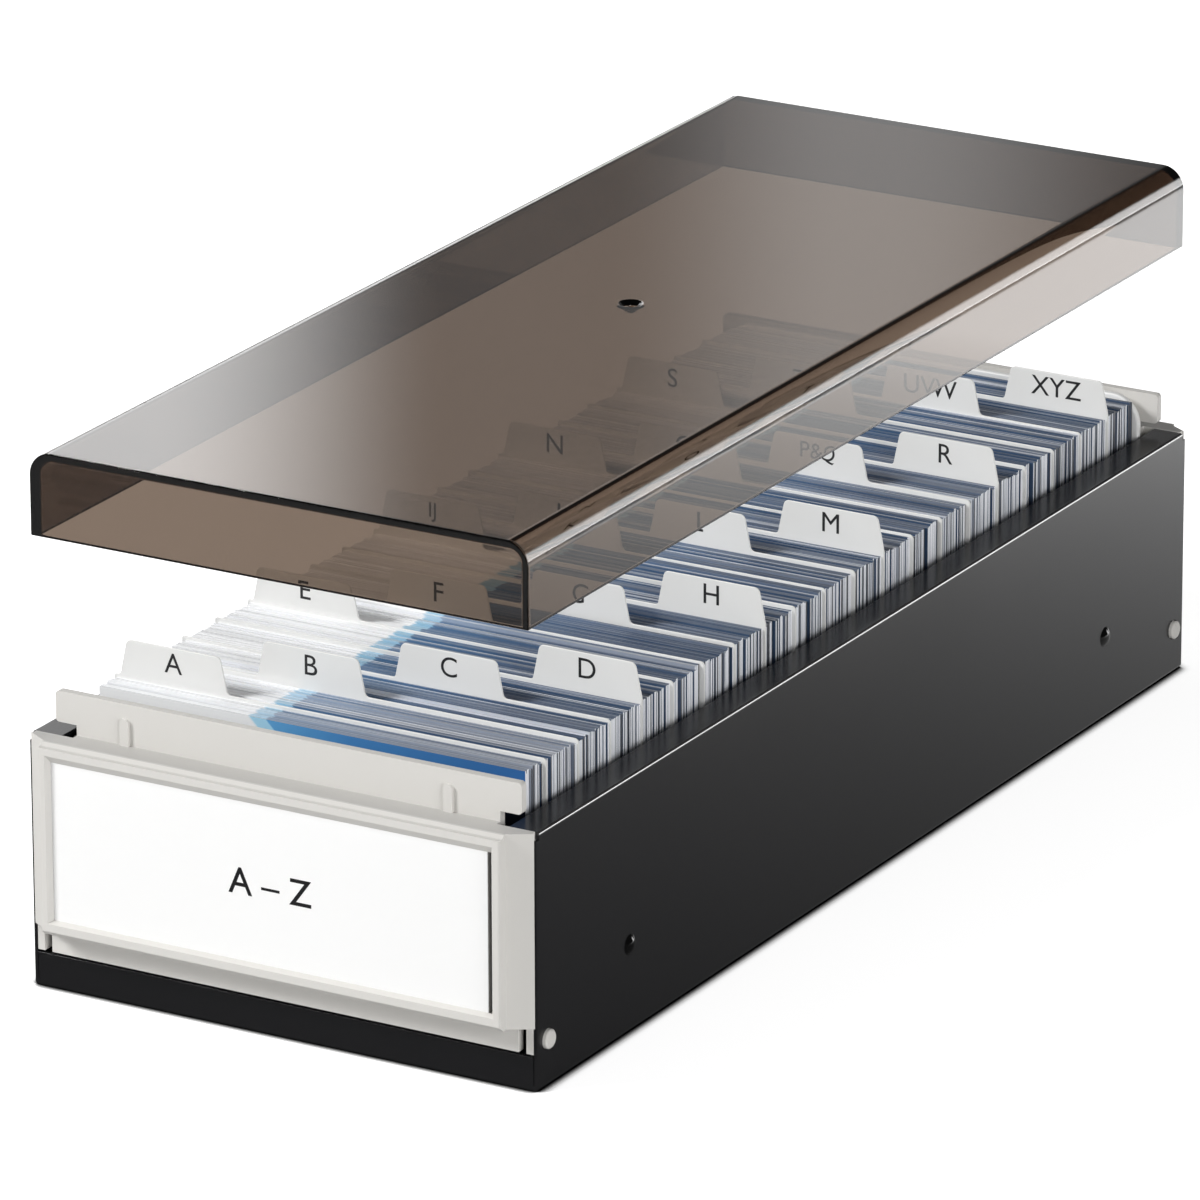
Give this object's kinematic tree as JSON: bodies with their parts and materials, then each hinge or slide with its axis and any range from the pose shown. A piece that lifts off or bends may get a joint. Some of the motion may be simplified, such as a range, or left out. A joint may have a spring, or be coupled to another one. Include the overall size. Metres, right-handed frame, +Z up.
{
  "type": "business card box",
  "caption": "Business card box: a folded steel tray with moulded end panels, filled with cards and lettered index dividers, under a smoked clear lid that lifts straight off.",
  "frame": {"origin": "centre of the bounding box at the surface that the box stands on", "axes": "+X to the right seen from the labelled front, +Y from the front to the rear along the tray, +Z up"},
  "size_m": [0.1096, 0.2682, 0.1049],
  "materials": {
    "tray_paint": "smooth dark grey gloss enamel",
    "liner_paint": "satin dark grey enamel",
    "rivet_black": "black satin",
    "panel_plastic": "fine matte, warm light grey",
    "label_card": "smooth white",
    "card_stock": "smooth card, cut edges",
    "divider_sheet": "satin white sheet",
    "plate_plastic": "satin white sheet",
    "smoked_lid": "polished, smoked brown-grey, see-through"
  },
  "bodies": {
    "box": {"steel_tray": "tray_paint", "inner_tray": "liner_paint", "side_rivets": "rivet_black", "front_panel": "panel_plastic", "rear_panel": "panel_plastic", "front_label": "label_card", "card_pack_00": "card_stock", "card_pack_01": "card_stock", "card_pack_02": "card_stock", "card_pack_03": "card_stock", "card_pack_04": "card_stock", "card_pack_05": "card_stock", "card_pack_06": "card_stock", "card_pack_07": "card_stock", "card_pack_08": "card_stock", "card_pack_09": "card_stock", "card_pack_10": "card_stock", "card_pack_11": "card_stock", "card_pack_12": "card_stock", "card_pack_13": "card_stock", "card_pack_14": "card_stock", "card_pack_15": "card_stock", "card_pack_16": "card_stock", "card_pack_17": "card_stock", "card_pack_18": "card_stock", "card_pack_19": "card_stock", "card_pack_20": "card_stock", "divider_01": "divider_sheet", "divider_02": "divider_sheet", "divider_03": "divider_sheet", "divider_04": "divider_sheet", "divider_05": "divider_sheet", "divider_06": "divider_sheet", "divider_07": "divider_sheet", "divider_08": "divider_sheet", "divider_09": "divider_sheet", "divider_10": "divider_sheet", "divider_11": "divider_sheet", "divider_12": "divider_sheet", "divider_13": "divider_sheet", "divider_14": "divider_sheet", "divider_15": "divider_sheet", "divider_16": "divider_sheet", "divider_17": "divider_sheet", "divider_18": "divider_sheet", "divider_19": "divider_sheet", "divider_20": "divider_sheet"},
    "lid": {"lid": "smoked_lid"},
    "back_plate": {"back_plate": "plate_plastic"}
  },
  "joints": [
    {"name": "lid_lift", "type": "slide", "parent": "box", "child": "lid", "axis": [0, 0, 1], "range_m": [-0.03845, 0]},
    {"name": "back_plate_slide", "type": "slide", "parent": "box", "child": "back_plate", "axis": [0, 1, 0], "range_m": [0, 0.0016]}
  ]
}
